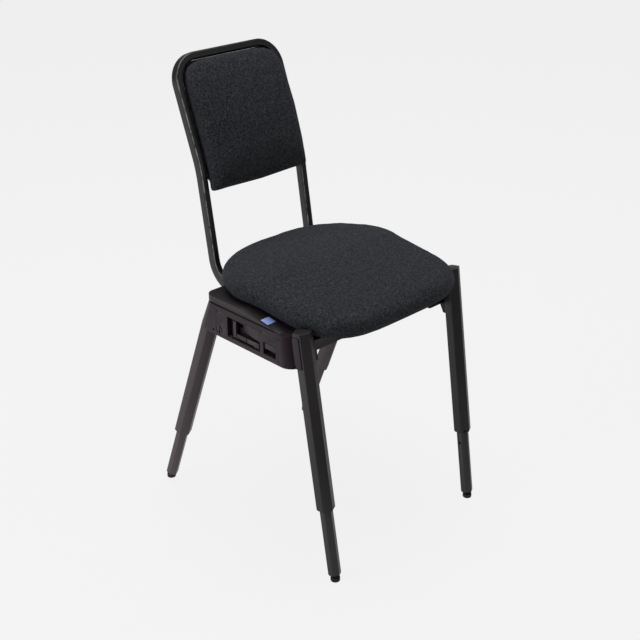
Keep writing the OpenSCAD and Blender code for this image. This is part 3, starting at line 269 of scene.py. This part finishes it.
glide_rubber = finished("glide_rubber", (0.008, 0.008, 0.0085), (0.035, 0.034, 0.033),
                        roughness=0.62, grain=700.0, dust=0.6, bump=0.2)
for place in LEGS:
    softened(f"glide_{place}", f"swivel_glide_{place}", glide_rubber, edge=0.0005, segments=2)


# Cross tubes and back frame
# Rectangular steel cross tubes welded between the legs, and one bent tube that is rails,
# uprights and top bar in a single length, all powder-coated with the legs.

softened("cross_front", "front_cross_tube", powder_coat, edge=0.0012)
softened("cross_rear", "rear_cross_tube", powder_coat, edge=0.0012)
# painted highlight: the bent tube's coat is painted bright along its forward outer corners
frame_coat = finished("frame_coat_painted_highlight", (0.0075, 0.0075, 0.008), (0.016, 0.016, 0.017),
                      roughness=0.30, grain=1400.0, dust=0.25, bump=0.12, painted_highlight=0.9)


def bent_tube(cad_name, piece_name, material):
    """The bent tube again with its sections joined into one skin, shaded by the area of its faces."""
    cad = frame["nodes"][cad_name]
    mesh = cad.data.copy()
    mesh.name = piece_name
    shape = bmesh.new()
    shape.from_mesh(mesh)
    bmesh.ops.remove_doubles(shape, verts=shape.verts, dist=0.00008)
    bmesh.ops.dissolve_limit(shape, angle_limit=math.radians(0.6), verts=shape.verts, edges=shape.edges)
    for face in shape.faces:
        face.smooth = True
    for edge in shape.edges:
        edge.smooth = len(edge.link_faces) == 2 and edge.calc_face_angle(0.0) < math.radians(40.0)
    shape.to_mesh(mesh)
    shape.free()
    piece = bpy.data.objects.new(piece_name, mesh)
    bpy.context.scene.collection.objects.link(piece)
    even = piece.modifiers.new("even_shading", "WEIGHTED_NORMAL")
    even.keep_sharp = True
    mesh.materials.clear()
    mesh.materials.append(material)
    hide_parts(cad_name)
    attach(piece, cad["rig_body"])
    return piece


bent_tube("back_frame", "bent_back_tube", frame_coat)


# Side housings
# Thin-walled mouldings in a fine spark-eroded texture, closed by a separate deck on top and
# an inner cover on the seat side. Edges are softly rounded where the moulds part.

moulded_shell = finished("textured_black_moulding", (0.0195, 0.0090, 0.0155), (0.031, 0.018, 0.0255),
                         roughness=0.42, grain=1100.0, dust=0.3, bump=0.16, specular=0.36)
# painted shade: the deck carries the housing's moulding painted darker, where the seat above shades it
deck_moulding_painted_shade = finished("textured_deck_painted_shade", (0.0115, 0.0075, 0.0092), (0.021, 0.014, 0.0175),
                        roughness=0.40, grain=1100.0, dust=0.3, bump=0.16)
SIDES = ("left", "right")
for side in SIDES:
    softened(f"cheek_{side}", f"housing_shell_{side}", moulded_shell,
             edge=0.0008, segments=3, crease=28.0)
    softened(f"deck_{side}", f"housing_deck_{side}", deck_moulding_painted_shade,
             edge=0.0022, segments=4, crease=28.0)
    softened(f"cover_{side}", f"housing_cover_{side}", moulded_shell,
             edge=0.0005, segments=2)


def deck_toe(side):
    """The deck's flat front end, inside the housing's rim from the falling top to the front wall.

    It reaches from inner to outer across, and its front outer corner is round.
    """
    sign = 1.0 if side == "left" else -1.0
    inner, outer, rear, front, corner = 0.1549, 0.2126, -0.1195, -0.1491, 0.0222
    low, high = 0.4707, 0.4727
    steps = 12
    outline = [(inner, rear), (outer, rear)]
    for step in range(steps + 1):
        turn = math.radians(90.0 * step / steps)
        outline.append((outer - corner + corner * math.cos(turn), front + corner - corner * math.sin(turn)))
    outline.append((inner, front))
    count = len(outline)
    points = [(sign * x, y, z) for z in (low, high) for x, y in outline]
    faces = [tuple(range(count)), tuple(range(2 * count - 1, count - 1, -1))]
    faces += [(i, i + count, (i + 1) % count + count, (i + 1) % count) for i in range(count)]
    mesh = bpy.data.meshes.new(f"deck_toe_{side}")
    mesh.from_pydata(points, [], faces)
    shape = bmesh.new()
    shape.from_mesh(mesh)
    bmesh.ops.recalc_face_normals(shape, faces=shape.faces)
    shape.to_mesh(mesh)
    shape.free()
    toe = bpy.data.objects.new(f"deck_toe_{side}", mesh)
    bpy.context.scene.collection.objects.link(toe)
    mesh.materials.append(deck_moulding_painted_shade)
    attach(toe, "frame")


for side in SIDES:
    deck_toe(side)


# Marker tiles
# A small smooth tile of pale blue plastic, glued into a square pocket in each deck so that
# its face lies a hair below the surface round it.

tile_blue = finished("pale_blue_tile", (0.32, 0.42, 0.90), (0.38, 0.48, 0.95),
                     roughness=0.3, grain=400.0, dust=0.0, bump=0.02)
for side in SIDES:
    softened(f"marker_{side}", f"marker_tile_{side}", tile_blue, edge=0.0006, segments=3)


# Release levers and their linkage
# A moulded lever on a plated pin in each housing's recess; its crank pulls a stamped steel
# draw bar inside. A link tongue and a slotted turn plug sit beside it.

lever_plastic = finished("lever_moulding", (0.014, 0.0095, 0.0115), (0.026, 0.019, 0.022),
                         roughness=0.34, grain=1300.0, dust=0.15, bump=0.08)
plated = finished("zinc_plate", (0.50, 0.50, 0.52), (0.60, 0.60, 0.60),
                  roughness=0.34, grain=600.0, metallic=1.0, bump=0.05)
blackened = finished("blackened_screw", (0.04, 0.036, 0.039), (0.08, 0.076, 0.08),
                     roughness=0.34, grain=900.0, metallic=0.8)
for side in SIDES:
    softened(f"lever_{side}", f"release_lever_{side}", lever_plastic,
             edge=0.0006, segments=3)
    softened(f"draw_bar_{side}", f"draw_bar_steel_{side}", plated, edge=0.0003, segments=2)
    softened(f"link_{side}", f"link_tongue_{side}", lever_plastic,
             edge=0.0006, segments=3)
    softened(f"knob_{side}", f"turn_plug_{side}", lever_plastic, edge=0.0004, segments=2)
softened("lever_pins", "lever_hinge_pins", plated, edge=0.0002, segments=2)
softened("cheek_screws", "housing_screws", blackened, edge=0.0002, segments=2)
softened("pan_bolts", "seat_bolts", plated, edge=0.0004, segments=2)


# Seat pan and its mounts
# A ribbed plastic moulding under the seat pad. It stands on four rubber cylinders, and a
# plated bolt runs up through each of them from the rail or cross tube below.

softened("seat_pan", "seat_pan_moulding", moulded_shell, edge=0.0012, segments=3)
softened("pan_mounts", "rubber_pan_mounts", glide_rubber, edge=0.0006, segments=3)


# Seat pad
# Moulded foam under a close-woven melange cloth: dark blue-grey yarn with paler flecks. The
# cloth is pulled tight over the edge and turned in under the pan.

def make_weave_group():
    """Melange cloth: crossing threads for height, flecked yarn for colour."""
    tree, inside, out = new_group(
        "melange_weave",
        {"Color": "NodeSocketColor", "Roughness": "NodeSocketFloat", "Height": "NodeSocketFloat"},
        {"Yarn": (0.03, 0.03, 0.033, 1.0), "Fleck": (0.12, 0.12, 0.13, 1.0),
         "Dark Yarn": (0.012, 0.013, 0.014, 1.0), "Threads": 700.0, "Fleck Amount": 0.5})
    place = node(tree, "ShaderNodeTexCoord").outputs["Object"]
    split = node(tree, "ShaderNodeSeparateXYZ", [("Vector", place)])
    down = math_node(tree, "SUBTRACT", split.outputs["Y"], split.outputs["Z"])
    threads = inside.outputs["Threads"]
    warp = math_node(tree, "SINE", math_node(tree, "MULTIPLY", split.outputs["X"], threads), 0.0)
    weft = math_node(tree, "SINE", math_node(tree, "MULTIPLY", down, threads), 0.0)
    cross = math_node(tree, "MULTIPLY", warp, weft)
    slub = node(tree, "ShaderNodeTexNoise", [("Vector", place)], Scale=420.0, Detail=2.0, Roughness=0.6)
    blend = node(tree, "ShaderNodeTexNoise", [("Vector", place)], Scale=1000.0, Detail=2.0, Roughness=0.6)
    drift = node(tree, "ShaderNodeTexNoise", [("Vector", place)], Scale=230.0, Detail=1.0)
    pale = mapped(tree, slub.outputs["Fac"], 0.57, 0.70)
    dark = mapped(tree, blend.outputs["Fac"], 0.38, 0.62, at_low=0.7, at_high=0.0)
    tone = mapped(tree, drift.outputs["Fac"], 0.36, 0.66, at_high=0.20)
    ground = mixed(tree, dark, inside.outputs["Yarn"], inside.outputs["Dark Yarn"])
    flecks = math_node(tree, "MULTIPLY", pale, inside.outputs["Fleck Amount"])
    flecks = math_node(tree, "ADD", flecks, tone)
    tree.links.new(mixed(tree, flecks, ground, inside.outputs["Fleck"]), out.inputs["Color"])
    rough = mapped(tree, slub.outputs["Fac"], 0.3, 0.7, at_low=0.98, at_high=0.84)
    tree.links.new(rough, out.inputs["Roughness"])
    # the slubs stand higher than the crossings of the threads
    crossing_height = 0.35
    relief = math_node(tree, "MULTIPLY", cross, crossing_height)
    relief = math_node(tree, "ADD", relief, slub.outputs["Fac"])
    tree.links.new(relief, out.inputs["Height"])
    return tree


WEAVE = make_weave_group()
# length of one full wave of the crossing threads
THREAD_PITCH = 0.0016


def cloth(name, yarn, fleck, dark_yarn, fleck_amount):
    """An upholstery cloth with the melange weave in its own yarn colours."""
    material = bpy.data.materials.new(name)
    material.use_nodes = True
    tree = material.node_tree
    shader = tree.nodes["Principled BSDF"]
    shader.inputs["Specular IOR Level"].default_value = 0.12
    shader.inputs["Sheen Weight"].default_value = 0.08
    shader.inputs["Sheen Roughness"].default_value = 0.45
    shader.inputs["Sheen Tint"].default_value = (0.8, 0.82, 0.9, 1.0)
    group = tree.nodes.new("ShaderNodeGroup")
    group.node_tree = WEAVE
    group.inputs["Yarn"].default_value = (*yarn, 1.0)
    group.inputs["Fleck"].default_value = (*fleck, 1.0)
    group.inputs["Dark Yarn"].default_value = (*dark_yarn, 1.0)
    group.inputs["Threads"].default_value = 2 * math.pi / THREAD_PITCH
    group.inputs["Fleck Amount"].default_value = fleck_amount
    relief = node(tree, "ShaderNodeBump", [("Height", group.outputs["Height"])],
                  Strength=0.5, Distance=0.0006)
    tree.links.new(group.outputs["Color"], shader.inputs["Base Color"])
    tree.links.new(group.outputs["Roughness"], shader.inputs["Roughness"])
    tree.links.new(relief.outputs["Normal"], shader.inputs["Normal"])
    return material


def stuffed(cad_name, piece_name, shrink, cap, pressure, steps=20, voxel=0.004):
    """Foam under tight cloth: the CAD form drawn in, then swollen outward by a capped cloth run."""
    mesh = frame["nodes"][cad_name].data.copy()
    mesh.name = piece_name
    shape = bmesh.new()
    shape.from_mesh(mesh)
    bmesh.ops.remove_doubles(shape, verts=shape.verts, dist=WELD)
    shape.to_mesh(mesh)
    shape.free()
    piece = bpy.data.objects.new(piece_name, mesh)
    bpy.context.scene.collection.objects.link(piece)
    bpy.context.view_layer.objects.active = piece
    remesh = piece.modifiers.new("even_mesh", "REMESH")
    remesh.mode = "VOXEL"
    remesh.voxel_size = voxel
    remesh.use_smooth_shade = True
    bpy.ops.object.modifier_apply(modifier=remesh.name)
    relax = piece.modifiers.new("relax", "SMOOTH")
    relax.factor = 0.5
    relax.iterations = 2
    bpy.ops.object.modifier_apply(modifier=relax.name)
    # the even mesh lies on the foam again, so its corners stay as crisp as the moulding's
    wrap = piece.modifiers.new("lie_on_foam", "SHRINKWRAP")
    wrap.target = frame["nodes"][cad_name]
    wrap.wrap_method = "NEAREST_SURFACEPOINT"
    bpy.ops.object.modifier_apply(modifier=wrap.name)
    points = piece.data.vertices
    normals = [point.normal.copy() for point in points]
    for point, normal in zip(points, normals):
        point.co -= normal * shrink
    starts = [point.co.copy() for point in points]
    swell = piece.modifiers.new("stuffing", "CLOTH")
    swell.settings.use_pressure = True
    swell.settings.uniform_pressure_force = pressure
    swell.settings.effector_weights.gravity = 0.0
    swell.settings.tension_stiffness = 20
    swell.settings.compression_stiffness = 20
    swell.point_cache.frame_start = 1
    swell.point_cache.frame_end = steps
    for step in range(1, steps + 1):
        bpy.context.scene.frame_set(step)
    bpy.ops.object.modifier_apply(modifier=swell.name)
    # the cloth may only swell outward, and no further than the cap
    for point, start, normal in zip(piece.data.vertices, starts, normals):
        move = point.co - start
        move -= normal * min(0.0, move.dot(normal))
        if move.length > cap:
            move = move.normalized() * cap
        point.co = start + move
    bpy.context.scene.frame_set(1)
    even = piece.modifiers.new("even_swell", "SMOOTH")
    even.factor = 0.4
    even.iterations = 1
    bpy.ops.object.modifier_apply(modifier=even.name)
    finer = piece.modifiers.new("finer", "SUBSURF")
    finer.levels = 1
    finer.render_levels = 1
    for face in piece.data.polygons:
        face.use_smooth = True
    return piece


seat_cloth = cloth("seat_melange_cloth", (0.0196, 0.0218, 0.0255), (0.113, 0.118, 0.132),
                   (0.010, 0.0112, 0.0128), 0.55)
seat_pad = stuffed("seat_cushion", "seat_pad", shrink=0.0006, cap=0.0020, pressure=3.0)
seat_pad.data.materials.clear()
seat_pad.data.materials.append(seat_cloth)
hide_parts("seat_cushion")
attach(seat_pad, "frame")


# Back pad and back board
# The same cloth over shaped foam, backed by a moulded board. Screws from behind hold both to
# small tabs on the frame.

back_pad = stuffed("back_cushion", "back_pad", shrink=0.0003, cap=0.0011, pressure=3.0)
back_lean = math.radians(20.6)
lean = Vector((0.0, math.sin(back_lean), math.cos(back_lean)))
outward = Vector((0.0, -lean.z, lean.y))
half_width, half_height = 0.1166, 0.1205
squareness, sag, taper_start, taper = 14, 0.02, 0.45, 0.26
pad_top = max(point.co.dot(lean) for point in back_pad.data.vertices)
pad_rear = min(point.co.dot(outward) for point in back_pad.data.vertices)
# the lower corners are sewn nearly square, so each is drawn out to its panel's corner, and the
# foam thins towards the lower edge
for point in back_pad.data.vertices:
    below = (pad_top - point.co.dot(lean)) / half_height - 1.0
    if below > 0.0:
        wide, deep = abs(point.co.x) / half_width, below
        pull = (wide ** squareness + deep ** squareness) ** (1 / squareness) / max(wide, deep)
        wider = max(wide, min(wide * pull, 1.0))
        deeper = max(deep, min(deep * pull, 1.0 + sag * (1.0 - wider * wider)))
        point.co.x += math.copysign((wider - wide) * half_width, point.co.x)
        point.co -= lean * ((deeper - deep) * half_height)
        thin = min(max((deeper - taper_start) / (1.0 - taper_start), 0.0), 1.0) ** 2 * taper
        point.co -= outward * ((point.co.dot(outward) - pad_rear) * thin)
back_pad.data.materials.clear()
back_pad.data.materials.append(seat_cloth)
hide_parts("back_cushion")
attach(back_pad, "frame")

back_board = softened("back_board", "back_board_moulding", moulded_shell,
                      edge=0.001, segments=3)
# its rim reaches to the tube all round, so no light shows past the pad
heights = [point.co.dot(lean) for point in back_board.data.vertices]
board_middle = (max(heights) + min(heights)) / 2
rim_growth = 0.0205
for point in back_board.data.vertices:
    above = point.co.dot(lean) - board_middle
    point.co += Vector((point.co.x * rim_growth, 0.0, 0.0)) + lean * (above * rim_growth)
softened("back_screws", "back_board_screws", blackened, edge=0.0004, segments=2)


# Floor, light and camera
# A pale seamless floor, a broad soft box on the camera's left, a larger one overhead and a
# weak fill in front of the chair.

BACKDROP = 0.92

floor_mesh = bpy.data.meshes.new("studio_floor")
reach = 14.0
floor_mesh.from_pydata([(-reach, -reach, 0), (reach, -reach, 0), (reach, reach, 0), (-reach, reach, 0)], [],
                       [(0, 1, 2, 3)])
floor = bpy.data.objects.new("studio_floor", floor_mesh)
bpy.context.scene.collection.objects.link(floor)
paper = bpy.data.materials.new("pale_paper")
paper.use_nodes = True
tree = paper.node_tree
tree.nodes.clear()
surface = node(tree, "ShaderNodeOutputMaterial")
matte = node(tree, "ShaderNodeBsdfDiffuse", Color=(0.82, 0.82, 0.82, 1.0))
glow = node(tree, "ShaderNodeEmission", Color=(1.0, 1.0, 1.0, 1.0))
rays = node(tree, "ShaderNodeLightPath")
# painted reflection: for glossy rays the sheet glows bright behind the chair and dim in front of it, and a
# glossy coat mirrors that glow
spot = node(tree, "ShaderNodeNewGeometry").outputs["Position"]
depth = node(tree, "ShaderNodeSeparateXYZ", [("Vector", spot)])
painted_reflection_glow = mapped(tree, depth.outputs["Y"], -0.9, 0.5, at_low=0.12, at_high=0.78)
glossy = math_node(tree, "MULTIPLY", rays.outputs["Is Glossy Ray"], painted_reflection_glow)
plain = math_node(tree, "MAXIMUM", rays.outputs["Is Camera Ray"], rays.outputs["Is Transmission Ray"])
plain = math_node(tree, "MULTIPLY", plain, BACKDROP)
tree.links.new(math_node(tree, "MAXIMUM", glossy, plain), glow.inputs["Strength"])
seen = math_node(tree, "MAXIMUM", rays.outputs["Is Camera Ray"], rays.outputs["Is Glossy Ray"])
seen = math_node(tree, "MAXIMUM", seen, rays.outputs["Is Transmission Ray"])
glow_share = 0.92
share = math_node(tree, "MULTIPLY", seen, glow_share)
blend = node(tree, "ShaderNodeMixShader", [(0, share), (1, matte.outputs[0]), (2, glow.outputs[0])])
tree.links.new(blend.outputs[0], surface.inputs["Surface"])
floor_mesh.materials.append(paper)

world = bpy.data.worlds.new("studio_air")
bpy.context.scene.world = world
world.use_nodes = True
tree = world.node_tree
tree.nodes.clear()
surface = node(tree, "ShaderNodeOutputWorld")
rays = node(tree, "ShaderNodeLightPath")
air = node(tree, "ShaderNodeBackground", Color=(1.0, 1.0, 1.0, 1.0), Strength=0.17)
seen_air = node(tree, "ShaderNodeBackground", Color=(BACKDROP, BACKDROP, BACKDROP, 1.0), Strength=1.0)
blend = node(tree, "ShaderNodeMixShader", [(0, rays.outputs["Is Camera Ray"]), (1, air.outputs[0]),
                                           (2, seen_air.outputs[0])])
tree.links.new(blend.outputs[0], surface.inputs["Surface"])


def soft_box(name, place, target, size, watts):
    """A square white area light at place, aimed at target."""
    lamp = bpy.data.lights.new(name, "AREA")
    lamp.shape = "SQUARE"
    lamp.size = size
    lamp.energy = watts
    holder = bpy.data.objects.new(name, lamp)
    bpy.context.scene.collection.objects.link(holder)
    holder.location = place
    holder.rotation_euler = (Vector(target) - Vector(place)).to_track_quat("-Z", "Y").to_euler()


chair_middle = (0.0, 0.0, 0.45)
soft_box("left_soft_box", (-3.2, 0.8, 1.9), chair_middle, size=2.2, watts=42.0)
soft_box("top_soft_box", (0.2, 0.1, 3.4), chair_middle, size=2.6, watts=62.0)
soft_box("front_fill", (1.6, -3.4, 1.6), chair_middle, size=1.8, watts=7.0)

camera_data = bpy.data.cameras.new("photo_camera")
camera_data.lens = 64.46
camera_data.sensor_width = 36.0
camera = bpy.data.objects.new("photo_camera", camera_data)
bpy.context.scene.collection.objects.link(camera)
camera.location = (-1.3976, -1.4402, 1.3637)
aim = Vector((0.0, -0.0130, 0.3872)) - camera.location
camera.rotation_euler = aim.to_track_quat("-Z", "Y").to_euler()
bpy.context.scene.camera = camera
bpy.context.scene.view_settings.view_transform = "Standard"
